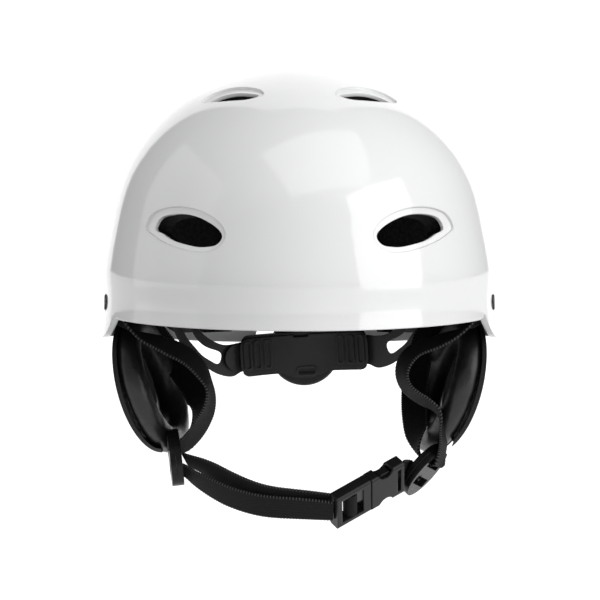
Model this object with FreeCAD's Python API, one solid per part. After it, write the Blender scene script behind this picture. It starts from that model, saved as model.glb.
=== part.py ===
import FreeCAD, Part

import math
import os

from FreeCAD import Matrix, Placement, Rotation, Vector

# A full-cut hard-shell helmet with ear pads, a dial-adjusted rear cradle and webbing straps.
# Frame: +Z up, the wearer looks along -Y, +X is the wearer's left. The origin is the middle
# of the head opening, in the plane of the front brim. All sizes are in millimetres.

# ------------------------------------------------------------------ driving dimensions: shell
SHELL_HALF_WIDTH = 108.3
SHELL_HALF_LENGTH = 136.0
SHELL_CENTRE_Y = 4.0
SHELL_THICKNESS = 3.2
RECESS_DEPTH = 1.3
SKIRT_Z = -38.0
LENGTH_RATIO = SHELL_HALF_LENGTH / SHELL_HALF_WIDTH

# Half section of the dome: half width, height.
DOME_PROFILE = [
    (0.0, 136.2), (26.5, 132.6), (46.7, 126.0), (65.6, 116.1), (80.0, 102.8),
    (91.8, 86.3), (99.1, 69.6), (103.9, 49.7), (107.4, 31.0), (108.3, 22.0),
    (107.6, 9.6), (108.7, -3.0), (109.8, -12.0), (110.3, -24.0), (110.4, SKIRT_Z),
]

# Lower edge of the shell seen from the side: y, z. The brim is level as far as the temples,
# and behind a small notch the skirt covers the ears and the nape.
RIM_BRIM_END = (-61.0, 0.0)
RIM_BRIM_BEND = (-54.0, 0.0)
RIM_NOTCH_TOP = (-50.0, 2.4)
RIM_SKIRT = [
    (-50.0, 2.4), (-45.0, -3.4), (-39.0, -8.0), (-30.0, -11.2), (-15.0, -13.2), (3.0, -14.4),
    (25.0, -15.8), (62.0, -18.9), (100.0, -24.0), (128.0, -28.0), (170.0, -30.0),
]
DIAL_ARCH_HALF_WIDTH = 30.0
DIAL_ARCH_TOP_Z = -15.0

# ------------------------------------------------------------------ driving dimensions: vents
# Outlines in the vent's own plane: along the vent, up. Each is one of a mirrored pair.
FRONT_VENT_SEAT = (-33.5, 49.6)
REAR_VENT_SEAT = (-33.5, 68.0)
FRONT_VENT = [
    (-26.2, 2.2), (-23.6, 6.0), (-17.5, 7.9), (-9.6, 8.6), (-1.0, 8.2), (7.4, 6.4),
    (14.0, 3.9), (18.8, 1.1), (21.2, -2.0), (19.0, -6.3), (14.4, -7.8), (9.5, -8.3),
    (2.2, -7.7), (-6.6, -6.2), (-13.5, -4.4), (-21.0, -1.3),
]
FRONT_RECESS = [
    (-34.0, 2.4), (-31.0, 7.2), (-21.5, 10.9), (-11.0, 12.0), (0.0, 11.4), (10.0, 9.2),
    (17.5, 5.9), (22.4, 1.8), (24.0, -2.4), (22.3, -6.6), (17.7, -9.8), (10.0, -11.0),
    (0.0, -10.2), (-11.0, -7.9), (-22.0, -4.6), (-30.7, -0.9),
]
TOP_VENT_SEAT = (-34.8, 119.2)
TOP_VENT = [
    (-14.2, -3.4), (-11.7, -0.2), (-6.7, 2.9), (0.7, 4.3), (8.4, 3.9), (15.0, 2.2),
    (12.5, -1.6), (6.0, -4.0), (-3.4, -5.0), (-10.5, -4.8),
]
TOP_RECESS = [
    (-20.0, -2.6), (-17.2, 3.6), (-11.4, 7.9), (-2.6, 9.6), (6.7, 8.6), (15.0, 5.8),
    (19.0, 1.2), (13.0, -5.2), (3.0, -7.8), (-9.5, -7.6),
]

# Strap rivets on the wearer's left: azimuth, height.
RIVET_SEATS = [(78.5, 7.0), (113.5, 3.0)]
RIVET_HOLE_RADIUS = 2.3
RIVET_HEAD_RADIUS = 4.2
RIVET_POCKET = 0.9

# ------------------------------------------------------------------ driving dimensions: liner
LINER_GAP = 0.4
LINER_THICKNESS = 11.5
LINER_CHANNEL = 4.0
LINER_CROWN_Z = 86.0
LINER_EDGE = [
    (-170.0, 5.0), (-62.0, 5.0), (-50.0, 17.0), (52.0, 17.0), (76.0, -6.0), (100.0, -20.0),
    (170.0, -22.0),
]
COMFORT_GAP = 0.4
COMFORT_THICKNESS = 5.5

# ------------------------------------------------------------------ driving dimensions: cradle
CRADLE_MIDDLE = Vector(2.8, 0.0, -32.2)
CRADLE_ROLL_DEG = -3.6
BAND_RADIUS = 72.0
BAND_CENTRE_Y = 34.0
SIDE_BAND_RADIUS = 90.0
BAND_SPLIT_DEG = 38.0
BAND_END_DEG = 86.0
HOUSING_HALF_WIDTH = 38.0
PLATE_HALF_HEIGHT = 10.6
COVER_HALF_HEIGHT = 12.2
INNER_PLATE = (-1.2, 1.2)
SCREW_TIP = -0.3
BAND_LAYER_A = (1.5, 3.1)
BAND_LAYER_B = (3.4, 5.0)
COVER_LAYER = (5.3, 7.6)
PINION_RADIUS = 5.0
PINION_TEETH = 10
TOOTH_HEIGHT = 1.7
DIAL_RADIUS = 21.5
DIAL_DEPTH = 11.5
PIVOT_Y = 35.0
PIVOT_Z = 28.0
PIVOT_RADIUS = 3.0
RUNNING_CLEARANCE = 0.05
PIN_INNER = 76.2
PIN_FOOT_OFFSET = 6.0
PIN_OUTER = 97.0

# Front view of one arm and of its window, from the middle of the housing: outwards, up.
ARM_OUTLINE = [
    (33.0, 8.6), (40.0, 8.4), (47.0, 8.2), (52.0, 10.4), (57.8, 15.2), (62.0, 21.0),
    (65.8, 31.0), (69.5, 42.0), (73.5, 53.6), (76.0, 63.6), (84.0, 65.6), (87.0, 56.6),
    (83.0, 46.6), (78.5, 40.0), (76.0, 30.0), (74.0, 20.0), (70.8, 12.0), (64.5, 3.4),
    (58.5, -3.2), (53.0, -7.8), (47.5, -10.4), (42.0, -10.8), (38.2, -9.0), (33.0, -8.6),
]
ARM_WINDOW = [
    (49.5, 1.0), (50.0, 4.2), (54.0, 6.6), (58.8, 9.6), (62.5, 14.0), (66.0, 22.0),
    (69.0, 30.0), (70.6, 33.0), (71.4, 30.0), (70.4, 23.0), (68.0, 16.0), (64.0, 9.5),
    (59.5, 3.2), (55.5, -0.2), (51.5, -2.4),
]

# Toothed bands: the slot's ends and the strip's ends, outwards from the middle.
RACK_SLOT = (-8.0, 17.0)
BAND_HALF_HEIGHT = 8.4
BAND_OUTER_END = 30.0
LONG_BAND_TIP = 47.0
SHORT_BAND_TIP = 29.0
BAND_END_GAP = 0.4

# ------------------------------------------------------------------ driving dimensions: ear pads
EAR_COVER_MIDDLE = Vector(84.0, 0.0, -36.0)
EAR_COVER_TILT_DEG = 13.0
EAR_COVER_HALF_HEIGHT = 41.0
EAR_COVER_BULGE = 15.0
EAR_COVER_THICKNESS = 2.6
EAR_COVER_OUTLINE = [
    (-20.0, -5.5), (-34.0, -14.0), (-40.5, -34.0), (-36.0, -57.0), (-21.0, -75.0),
    (2.0, -82.0), (24.0, -75.0), (39.0, -57.0), (44.0, -34.0), (39.0, -14.0), (26.0, -5.0),
    (3.0, -3.6),
]
EAR_RING_MIDDLE = Vector(82.3, 1.0, -40.5)
EAR_RING_FORWARD = Vector(5.5, -37.0, 1.0)
EAR_RING_UP = Vector(10.0, -2.5, 31.0)
EAR_ROLL_RADIUS = 8.3
EAR_HINGE = Vector(97.5, 0.0, 1.8)
EAR_HINGE_HALF_LENGTH = 15.0

# ------------------------------------------------------------------ driving dimensions: straps
WEBBING_WIDTH = 15.0
WEBBING_THICKNESS = 1.3
RIBBON_STEP = 5.0
SLIDER_LENGTH = 32.0
SLIDER_WIDTH = 25.0
SLIDER_PLATE = 3.2
SLIDER_SLOT = (17.6, 5.4)
SLIDER_SLOT_OFFSET = 6.0
STRAP_ROOM = 0.6
SLIDER_TRAVEL = 6.0
SLOT_ROOM_WIDE = 1.0
SLOT_ROOM_THICK = 0.8
# Each slider's middle, its direction down the strap, and its outward normal.
RIGHT_SLIDER_SEAT = (Vector(-68.0, -25.0, -78.0), Vector(0.14, -0.5, -0.86), Vector(-0.99, -0.10, -0.10))
LEFT_SLIDER_SEAT = (Vector(67.8, -23.0, -85.0), Vector(-0.65, 0.0, -0.76), Vector(0.69, -0.42, -0.59))

# ------------------------------------------------------------------ driving dimensions: buckle
BUCKLE_SEAM = Vector(36.8, -46.6, -93.8)
BUCKLE_AXIS = Vector(0.80, 0.46, 0.38)
BUCKLE_ACROSS = Vector(-0.10, -0.65, 0.75)
BUCKLE_WIDTH = 23.0
BUCKLE_THICKNESS = 8.0
BUCKLE_MALE_LENGTH = 23.0
BUCKLE_FEMALE_LENGTH = 22.0
BUCKLE_SEAM_GAP = 0.4
PRONG_MIDDLE = 8.2
PRONG_ROOT = 1.8
PRONG_WIDTH = 3.0
PRONG_LENGTH = 14.0
PRONG_THICKNESS = 4.6
GUIDE_WIDTH = 3.0
CAVITY_HALF_WIDTH = 10.1
CAVITY_HALF_HEIGHT = 2.7
CAVITY_LENGTH = 16.0


def write(name, shape):
    """Write one named piece."""
    shape.exportStep(f"parts/{name}.step")


def mirrored(shape):
    """The same piece for the other side of the head."""
    return shape.mirror(Vector(0, 0, 0), Vector(1, 0, 0))


def box(x_range, y_range, z_range):
    """A block between two values on each axis."""
    size = [high - low for low, high in (x_range, y_range, z_range)]
    return Part.makeBox(*size, Vector(x_range[0], y_range[0], z_range[0]))


def framed(shape, origin, x_axis, y_axis):
    """Move a shape drawn at the origin into the frame with these axes."""
    x_dir = Vector(x_axis).normalize()
    z_dir = x_dir.cross(y_axis).normalize()
    y_dir = z_dir.cross(x_dir)
    moved = shape.copy()
    moved.Placement = Placement(origin, Rotation(x_dir, y_dir, z_dir, "XYZ")).multiply(moved.Placement)
    return moved


def smooth_wire(points, to_vector):
    """A closed smooth outline through flat points."""
    curve = Part.BSplineCurve()
    curve.interpolate(Points=[to_vector(*point) for point in points], PeriodicFlag=True)
    return Part.Wire(curve.toShape())


def polygon(points, to_vector):
    """A closed outline of straight edges."""
    corners = [to_vector(*point) for point in points]
    return Part.makePolygon(corners + corners[:1])


def flat(u, v):
    return Vector(u, v, 0)


def side_view(y, z):
    return Vector(-160, y, z)


def front_view(x, z):
    return Vector(x, 0, z)


# ------------------------------------------------------------------------------- shell surface
def dome_curve(inset):
    """Half section of the dome in the YZ plane, moved inwards by inset."""
    curve = Part.BSplineCurve()
    points = [Vector(0, radius, z) for radius, z in DOME_PROFILE]
    level, down = Vector(0, 1, 0), Vector(0, 0, -1)
    curve.interpolate(Points=points, InitialTangent=level, FinalTangent=down)
    if inset == 0:
        return curve
    samples = 22
    first, span = curve.FirstParameter, curve.LastParameter - curve.FirstParameter
    moved = []
    for index in range(samples + 1):
        parameter = first + span * index / samples
        along = curve.tangent(parameter)[0]
        inwards = Vector(0, along.z, -along.y)
        moved.append(curve.value(parameter) + inwards * inset)
    offset_curve = Part.BSplineCurve()
    offset_curve.interpolate(Points=moved, InitialTangent=level, FinalTangent=down)
    return offset_curve


def dome(outer_inset, inner_inset):
    """The dome-shaped layer between two insets, open at the bottom."""
    outer, inner = dome_curve(outer_inset), dome_curve(inner_inset)
    top = Part.makeLine(inner.StartPoint, outer.StartPoint)
    bottom = Part.makeLine(outer.EndPoint, inner.EndPoint)
    section = Part.Face(Part.Wire([top, outer.toShape(), bottom, inner.toShape()]))
    layer = section.revolve(Vector(0, 0, 0), Vector(0, 0, 1), 360)
    stretch = Matrix(1, 0, 0, 0, 0, LENGTH_RATIO, 0, SHELL_CENTRE_Y, 0, 0, 1, 0, 0, 0, 0, 1)
    return layer.transformGeometry(stretch)


def dome_point(azimuth_deg, z):
    """A point of the outer surface. Azimuth 0 is the forehead, 90 the wearer's left."""
    curve = dome_curve(0)
    low, high = curve.FirstParameter, curve.LastParameter
    for _ in range(50):
        middle = (low + high) / 2
        if curve.value(middle).z > z:
            low = middle
        else:
            high = middle
    radius = curve.value(low).y
    angle = math.radians(azimuth_deg)
    y = SHELL_CENTRE_Y - LENGTH_RATIO * radius * math.cos(angle)
    return Vector(radius * math.sin(angle), y, z)


def on_dome(shape, seat):
    """Put a shape drawn flat, +Z outwards, on the dome at a seat of azimuth and height."""
    azimuth, z = seat
    step = 0.2
    across = dome_point(azimuth + step, z) - dome_point(azimuth - step, z)
    upwards = dome_point(azimuth, z + step) - dome_point(azimuth, z - step)
    normal = across.cross(upwards)
    return framed(shape, dome_point(azimuth, z), Vector(0, 0, 1).cross(normal), upwards)


def prism(outline, low, high):
    """A flat outline extruded from low to high along its own normal."""
    base = outline.copy()
    base.translate(Vector(0, 0, low))
    return Part.Face(base).extrude(Vector(0, 0, high - low))


def four_ways(shape, front_seat, rear_seat):
    """A flat shape put on the front right of the dome, its mirror image, and both at the back."""
    front, rear = on_dome(shape, front_seat), on_dome(shape, rear_seat)
    rear = rear.mirror(Vector(0, SHELL_CENTRE_Y, 0), Vector(0, 1, 0))
    return [front, mirrored(front), rear, mirrored(rear)]


def vent_tools(grow, low, high):
    """Cutters for all vents, from low to high along each vent's own normal."""
    tools = []
    for outline, front_seat, rear_seat in ((FRONT_VENT, FRONT_VENT_SEAT, REAR_VENT_SEAT),
                                           (TOP_VENT, TOP_VENT_SEAT, TOP_VENT_SEAT)):
        wire = smooth_wire([(u * grow, v * grow) for u, v in outline], flat)
        tools += four_ways(prism(wire, low, high), front_seat, rear_seat)
    return tools


def recess_tools():
    """The outlines of the shallow recess round each vent, as prisms through the shell."""
    tools = []
    for outline, front_seat, rear_seat in ((FRONT_RECESS, FRONT_VENT_SEAT, REAR_VENT_SEAT),
                                           (TOP_RECESS, TOP_VENT_SEAT, TOP_VENT_SEAT)):
        tools += four_ways(prism(smooth_wire(outline, flat), -12, 12), front_seat, rear_seat)
    return tools


def below_rim():
    """Everything below the shell's lower edge."""
    start, deep = -180.0, -70.0
    brim = Part.makeLine(side_view(start, 0), side_view(*RIM_BRIM_END))
    rise = Part.BezierCurve()
    rise.setPoles([side_view(*RIM_BRIM_END), side_view(*RIM_BRIM_BEND), side_view(*RIM_NOTCH_TOP)])
    skirt = Part.BSplineCurve()
    skirt.interpolate(Points=[side_view(*point) for point in RIM_SKIRT])
    end_y = RIM_SKIRT[-1][0]
    under = Part.makePolygon([side_view(*RIM_SKIRT[-1]), side_view(end_y, deep),
                              side_view(start, deep), side_view(start, 0)])
    outline = Part.Wire([brim, rise.toShape(), skirt.toShape()] + under.Edges)
    return Part.Face(outline).extrude(Vector(320, 0, 0))


def dial_arch():
    """The arch in the rear edge that lets a hand reach the dial."""
    radius = 12.0
    height = 60.0
    arch = Part.makeBox(2 * DIAL_ARCH_HALF_WIDTH, 90, height,
                        Vector(-DIAL_ARCH_HALF_WIDTH, 80, DIAL_ARCH_TOP_Z - height))
    crown = [edge for edge in arch.Edges
             if abs(edge.tangentAt(edge.FirstParameter).y) > 0.9
             and edge.CenterOfMass.z > DIAL_ARCH_TOP_Z - 1]
    arch = arch.makeFillet(radius, crown)
    arch.translate(Vector(CRADLE_MIDDLE.x, 0, 0))
    return arch


def rivet_axis_shape(radius, low, high, seat):
    """A cylinder along the shell's normal at a rivet seat."""
    cylinder = Part.makeCylinder(radius, high - low, Vector(0, 0, low))
    return on_dome(cylinder, seat)


def outer_shell():
    """The hard outer shell with its vents, recesses, notches, arch and rivet holes."""
    shell = dome(0, SHELL_THICKNESS)
    rivet_holes = []
    for seat in RIVET_SEATS:
        hole = rivet_axis_shape(RIVET_HOLE_RADIUS, -8, 8, seat)
        pocket = rivet_axis_shape(RIVET_HEAD_RADIUS + 0.8, -RIVET_POCKET, 8, seat)
        rivet_holes += [hole, mirrored(hole), pocket, mirrored(pocket)]
    shell = shell.cut([below_rim(), dial_arch()] + rivet_holes)
    skin = dome(-1.0, RECESS_DEPTH)
    shell = shell.cut([skin.common(tool) for tool in recess_tools()])
    return shell.cut(vent_tools(1.0, -12, 12))


# ------------------------------------------------------------------------------- foam liner
def below_liner():
    """Everything below the liner's lower edge."""
    under = [(170.0, -90.0), (-170.0, -90.0)]
    outline = polygon(LINER_EDGE + under, side_view)
    return Part.Face(outline).extrude(Vector(320, 0, 0))


def channels():
    """Air channels that part the ring of foam into front, rear and side blocks."""
    tools = []
    for angle in (52.0, 128.0):
        slot = box((-LINER_CHANNEL / 2, LINER_CHANNEL / 2), (-200, 200), (-60, LINER_CROWN_Z))
        slot.rotate(Vector(0, 0, 0), Vector(0, 0, 1), angle)
        slot.translate(Vector(0, SHELL_CENTRE_Y, 0))
        tools.append(slot)
    return tools


def dial_pocket():
    """The pocket in the rear foam that clears the dial and housing over their travel."""
    half_width, top = 44.0, 4.0
    low_x, high_x = CRADLE_MIDDLE.x - half_width, CRADLE_MIDDLE.x + half_width
    return box((low_x, high_x), (90, 150), (-60, top))


def liner():
    """The foam blocks, by name."""
    inner = SHELL_THICKNESS + LINER_GAP + LINER_THICKNESS
    foam = dome(SHELL_THICKNESS + LINER_GAP, inner)
    foam = foam.cut([below_liner(), dial_pocket()] + vent_tools(1.15, -40, 12) + pivot_pockets())
    far = 200.0
    crown_gap = box((-far, far), (-far, far), (LINER_CROWN_Z - LINER_CHANNEL, LINER_CROWN_Z))
    blocks = foam.cut([crown_gap] + channels()).Solids
    names = {}
    for block in blocks:
        middle = block.CenterOfMass
        if middle.z > LINER_CROWN_Z:
            names["liner_crown"] = block
        elif abs(middle.x) > abs(middle.y - SHELL_CENTRE_Y):
            names["liner_left" if middle.x > 0 else "liner_right"] = block
        else:
            names["liner_front" if middle.y < 0 else "liner_rear"] = block
    return names


def comfort_pads():
    """Soft pads stuck to the inside of the foam."""
    outer = SHELL_THICKNESS + LINER_GAP + LINER_THICKNESS + COMFORT_GAP
    layer = dome(outer, outer + COMFORT_THICKNESS)
    side = layer.common(box((60, 110), (-30, 22), (22, 56)))
    return {
        "brow_pad": layer.common(box((-56, 56), (-150, 0), (9, 33))),
        "nape_pad": layer.common(box((-44, 44), (10, 150), (14, 40))),
        "crown_pad": layer.common(Part.makeCylinder(40, 60, Vector(0, SHELL_CENTRE_Y, 90))),
        "side_pad_left": side,
        "side_pad_right": mirrored(side),
    }


# ------------------------------------------------------------------------------- rear cradle
def cradle_placed(shape):
    """Move a shape from the cradle's own frame, centred on its housing, into the helmet."""
    placed = shape.copy()
    placed.rotate(Vector(0, 0, 0), Vector(0, 1, 0), CRADLE_ROLL_DEG)
    placed.translate(CRADLE_MIDDLE)
    return placed


def band_line(radial):
    """The plan line of the cradle bands at a distance outside their middle line: points of
    three arcs, from the wearer's right to the left, as (start, middle, end) triples."""
    def rear(angle_deg):
        angle = math.radians(angle_deg)
        reach = BAND_RADIUS + radial
        return Vector(reach * math.sin(angle), BAND_CENTRE_Y + reach * math.cos(angle), 0)

    split = math.radians(BAND_SPLIT_DEG)
    shift = SIDE_BAND_RADIUS - BAND_RADIUS

    def side(angle_deg, sign):
        angle = math.radians(angle_deg)
        reach = SIDE_BAND_RADIUS + radial
        x = reach * math.sin(angle) - shift * math.sin(split)
        y = BAND_CENTRE_Y + reach * math.cos(angle) - shift * math.cos(split)
        return Vector(sign * x, y, 0)

    middle = (BAND_SPLIT_DEG + BAND_END_DEG) / 2
    return [
        (side(BAND_END_DEG, -1), side(middle, -1), side(BAND_SPLIT_DEG, -1)),
        (rear(-BAND_SPLIT_DEG), rear(0), rear(BAND_SPLIT_DEG)),
        (side(BAND_SPLIT_DEG, 1), side(middle, 1), side(BAND_END_DEG, 1)),
    ]


def band_wall(layer):
    """An upright wall that follows the back of the head, between two radial distances."""
    tall = 80.0
    near, far = band_line(layer[0]), band_line(layer[1])
    edges = [Part.Arc(*arc).toShape() for arc in near + far]
    ends = [Part.makeLine(near[0][0], far[0][0]), Part.makeLine(near[-1][-1], far[-1][-1])]
    section = Part.Face(Part.Wire(Part.__sortEdges__(edges + ends)))
    wall = section.extrude(Vector(0, 0, 2 * tall))
    wall.translate(Vector(0, 0, -tall))
    return wall


def band_plate(layer, outline):
    """The part of a band wall inside an outline drawn in the front view."""
    tool = Part.Face(outline).extrude(Vector(0, 200, 0))
    return band_wall(layer).common(tool)


def rounded_outline(half_width, half_height, radius, middle=(0.0, 0.0)):
    """A rounded rectangle in the front view."""
    x, z = middle
    block = Part.makeBox(2 * half_width, 10, 2 * half_height,
                         Vector(x - half_width, 0, z - half_height))
    corners = [edge for edge in block.Edges if abs(edge.tangentAt(edge.FirstParameter).y) > 0.9]
    block = block.makeFillet(radius, corners)
    front = min(block.Faces, key=lambda face: face.CenterOfMass.y)
    return front.OuterWire


def arm(side, layer):
    """One flexible arm of the cradle, with its long window and its pivot hole."""
    def placed(x, z):
        return front_view(side * x, z)

    body = band_plate(layer, smooth_wire(ARM_OUTLINE, placed))
    window = Part.Face(smooth_wire(ARM_WINDOW, placed)).extrude(Vector(0, 200, 0))
    band_room = BAND_OUTER_END + BAND_END_GAP
    inner_end = box((-band_room, band_room), (0, 200), (-40, 40))
    hole = pivot_cylinder(side, PIVOT_RADIUS + RUNNING_CLEARANCE, 60, 100)
    return body.cut([window, inner_end, hole])


def pivot_cylinder(side, radius, near, far):
    """A cylinder on the cradle's tilt axis, in the cradle's own frame."""
    z = PIVOT_Z - CRADLE_MIDDLE.z
    y = PIVOT_Y
    cylinder = Part.makeCylinder(radius, far - near, Vector(near, y, z), Vector(1, 0, 0))
    return cylinder if side > 0 else mirrored(cylinder)


def pivot_pin(side, layer):
    """The push pin that the arm turns on: shank, inner head and a barbed foot in the foam."""
    head_x = PIN_INNER + layer[0] - BAND_LAYER_A[0]
    foot_x = head_x + PIN_FOOT_OFFSET
    shank = pivot_cylinder(side, PIVOT_RADIUS, head_x + 1.2, PIN_OUTER)
    head = pivot_cylinder(side, PIVOT_RADIUS + 2.2, head_x, head_x + 1.6)
    foot = pivot_cylinder(side, PIVOT_RADIUS + 4.0, foot_x, foot_x + 2.0)
    return shank.fuse([head, foot]).removeSplitter()


def pivot_pockets():
    """Pockets in the foam round the two pivot pins."""
    pockets = []
    for side in (1, -1):
        pocket = pivot_cylinder(side, PIVOT_RADIUS + 4.3, PIN_INNER + 4.0, PIN_OUTER + 0.5)
        pockets.append(cradle_placed(pocket))
    return pockets


def housing_inner():
    """The plate against the head, with grip ribs, a lobe below and two snap slots."""
    plate = band_plate(INNER_PLATE, rounded_outline(HOUSING_HALF_WIDTH, PLATE_HALF_HEIGHT, 5.0))
    lobe_radius, lobe_drop = 25.9, 5.0
    lobe_middle = Vector(0, 0, lobe_radius - PLATE_HALF_HEIGHT - lobe_drop)
    lobe = Part.Wire(Part.makeCircle(lobe_radius, lobe_middle, Vector(0, 1, 0)))
    low_half = box((-25, 25), (0, 200), (-40, -8))
    plate = plate.fuse(band_plate(INNER_PLATE, lobe).common(low_half)).removeSplitter()
    raised = [((side * rib_x, 0.6), 2.3, 8.8) for side in (1, -1) for rib_x in (21.6, 27.6, 33.5)]
    raised.append(((0.9, -11.4), 6.4, 2.9))
    rib_layer = (INNER_PLATE[0] - 0.7, INNER_PLATE[0] + 0.1)
    ribs = []
    for middle, half_width, half_height in raised:
        corner = min(half_width, half_height) - 0.1
        outer = rounded_outline(half_width, half_height, corner, middle)
        inner = rounded_outline(half_width - 1.0, half_height - 1.0, corner - 1.0, middle)
        ribs.append(band_plate(rib_layer, outer).cut(band_plate((-4, 4), inner)))
    plate = plate.fuse(ribs)
    slots = [box((-6, 3), (80, 120), (9.2, 11.8)), box((-3.8, 5.6), (80, 120), (-12.6, -10.2))]
    return plate.cut(slots + [screw_bore(BAND_CENTRE_Y + BAND_RADIUS + SCREW_TIP - 0.05)])


def screw_bore(start_y):
    """The hole for the dial screw, from start_y backwards."""
    return Part.makeCylinder(2.05, 60, Vector(0, start_y, 0), Vector(0, 1, 0))


def housing_cover():
    """The rear cover: a shallow tray whose ends are open for the bands."""
    half_width, half_height, wall = HOUSING_HALF_WIDTH - 0.4, COVER_HALF_HEIGHT, 1.8
    outline = rounded_outline(half_width, half_height, 4.6)
    inside = rounded_outline(half_width - wall, half_height - wall, 3.0)
    floor_depth = COVER_LAYER[0]
    tray = band_plate((INNER_PLATE[1] + 0.02, COVER_LAYER[1]), outline)
    tray = tray.cut(band_plate((0, floor_depth), inside))
    mouth = box((-60, 60), (60, BAND_CENTRE_Y + BAND_RADIUS + 20), (-9.7, 9.7))
    ends = band_plate((INNER_PLATE[1], floor_depth), rounded_outline(60, 11.6, 1.0)).common(mouth)
    shaft_hole = Part.makeCylinder(3.1, 60, Vector(0, 90, 0), Vector(0, 1, 0))
    return tray.cut([ends, shaft_hole])


def dial_base_y():
    """Where the dial's front face lies, just behind the cover."""
    return BAND_CENTRE_Y + BAND_RADIUS + COVER_LAYER[1] + 0.4


def dial():
    """The knurled knob with a stepped rim and a hollow back."""
    base = dial_base_y()
    knob = Part.makeCylinder(DIAL_RADIUS - 1.6, 3.2, Vector(0, base, 0), Vector(0, 1, 0))
    grip = Part.makeCylinder(DIAL_RADIUS, DIAL_DEPTH - 3.2, Vector(0, base + 3.2, 0), Vector(0, 1, 0))
    rear = base + DIAL_DEPTH
    grip = grip.makeChamfer(1.0, [edge for edge in grip.Edges if len(edge.Vertexes) == 1])
    knob = knob.fuse(grip).removeSplitter()
    dish = Part.makeCylinder(13.5, 3.0, Vector(0, rear - 3.0, 0), Vector(0, 1, 0))
    bore = screw_bore(base - 5)
    grooves = []
    count = 22
    for index in range(count):
        angle = 2 * math.pi * index / count
        reach = DIAL_RADIUS + 1.0
        foot = Vector(reach * math.cos(angle), base + 4.4, reach * math.sin(angle))
        grooves.append(Part.makeCylinder(1.9, 20, foot, Vector(0, 1, 0)))
    return knob.cut([dish, bore] + grooves)


def pinion():
    """The pinion on its hollow shaft, between the two toothed bands."""
    front = BAND_CENTRE_Y + BAND_RADIUS + BAND_LAYER_A[0]
    rear = BAND_CENTRE_Y + BAND_RADIUS + BAND_LAYER_B[1]
    outline = []
    root, tip = PINION_RADIUS - TOOTH_HEIGHT / 2, PINION_RADIUS + TOOTH_HEIGHT / 2
    for index in range(PINION_TEETH):
        middle = 2 * math.pi * (index + 0.5) / PINION_TEETH
        for reach, turn in ((root, -0.21), (tip, -0.09), (tip, 0.09), (root, 0.21)):
            angle = middle + turn
            outline.append((reach * math.sin(angle), reach * math.cos(angle)))
    gear = Part.Face(polygon(outline, front_view)).extrude(Vector(0, rear - front, 0))
    gear.translate(Vector(0, front, 0))
    shaft = Part.makeCylinder(3.0, dial_base_y() - front - 0.02, Vector(0, front, 0), Vector(0, 1, 0))
    return gear.fuse(shaft).cut(screw_bore(front - 5))


def dial_screw():
    """The screw that holds dial and pinion to the housing."""
    front = BAND_CENTRE_Y + BAND_RADIUS + SCREW_TIP
    rear = dial_base_y() + DIAL_DEPTH - 3.0
    shank = Part.makeCylinder(2.0, rear - front, Vector(0, front, 0), Vector(0, 1, 0))
    head = Part.makeCylinder(4.0, 1.8, Vector(0, rear, 0), Vector(0, 1, 0))
    cross = [box((-0.5, 0.5), (rear + 1.0, rear + 4), (-2.4, 2.4)),
             box((-2.4, 2.4), (rear + 1.0, rear + 4), (-0.5, 0.5))]
    return shank.fuse(head).cut(cross)


def toothed_band(side, layer, tip_reach, rack_side):
    """A band's inner end: a curved strip with a round tip, and a slot whose upper (+1) or
    lower (-1) edge is a rack."""
    half = BAND_HALF_HEIGHT
    deep = 200
    strip = box((half - tip_reach, BAND_OUTER_END), (0, deep), (-half, half))
    tip = Part.makeCylinder(half, deep, Vector(half - tip_reach, 0, 0), Vector(0, 1, 0))
    clear = PINION_RADIUS + TOOTH_HEIGHT / 2 + 0.35
    strip = strip.fuse(tip).cut(box(RACK_SLOT, (0, deep), (-clear, clear)))
    pitch = 2 * math.pi * PINION_RADIUS / PINION_TEETH
    crest, root = PINION_RADIUS - TOOTH_HEIGHT / 2 + 0.35, clear + 0.05
    first, last = math.ceil((RACK_SLOT[0] + 1) / pitch), math.floor((RACK_SLOT[1] - 1) / pitch)
    for index in range(first, last + 1):
        x = index * pitch
        profile = [(x - 0.85, root), (x - 0.35, crest), (x + 0.35, crest), (x + 0.85, root)]
        outline = polygon([(u, rack_side * v) for u, v in profile], front_view)
        strip = strip.fuse(Part.Face(outline).extrude(Vector(0, deep, 0)))
    if side < 0:
        strip = mirrored(strip)
    return band_wall(layer).common(strip)


def cradle_parts():
    """Everything of the rear cradle, by name, in the helmet's frame."""
    parts = {
        "cradle_arm_left": arm(1, BAND_LAYER_A),
        "cradle_arm_right": arm(-1, BAND_LAYER_B),
        "pivot_pin_left": pivot_pin(1, BAND_LAYER_A),
        "pivot_pin_right": pivot_pin(-1, BAND_LAYER_B),
        "housing_inner": housing_inner(),
        "housing_cover": housing_cover(),
        "band_rack_left": toothed_band(1, BAND_LAYER_A, LONG_BAND_TIP, 1),
        "band_rack_right": toothed_band(-1, BAND_LAYER_B, SHORT_BAND_TIP, -1),
        "dial_pinion": pinion(),
        "dial_knob": dial(),
        "dial_screw": dial_screw(),
    }
    return {name: cradle_placed(shape) for name, shape in parts.items()}


# ------------------------------------------------------------------------------- ear pads
def ear_axes(shape):
    """Turn a shape drawn upright about the ear cover's middle to the cover's lean."""
    leaned = shape.copy()
    leaned.rotate(Vector(0, 0, 0), Vector(0, 1, 0), EAR_COVER_TILT_DEG)
    leaned.translate(EAR_COVER_MIDDLE)
    return leaned


def ear_bowl(inset):
    """A solid with the cover's bulged section, carried straight from front to rear."""
    tall, bulge = EAR_COVER_HALF_HEIGHT - inset, EAR_COVER_BULGE - inset
    ellipse = Part.Ellipse(Vector(0, 0, tall), Vector(bulge, 0, 0), Vector(0, 0, 0))
    section = Part.Face(Part.Wire(ellipse.toShape()))
    section.translate(Vector(0, -60, 0))
    return ear_axes(section.extrude(Vector(0, 120, 0)))


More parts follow.
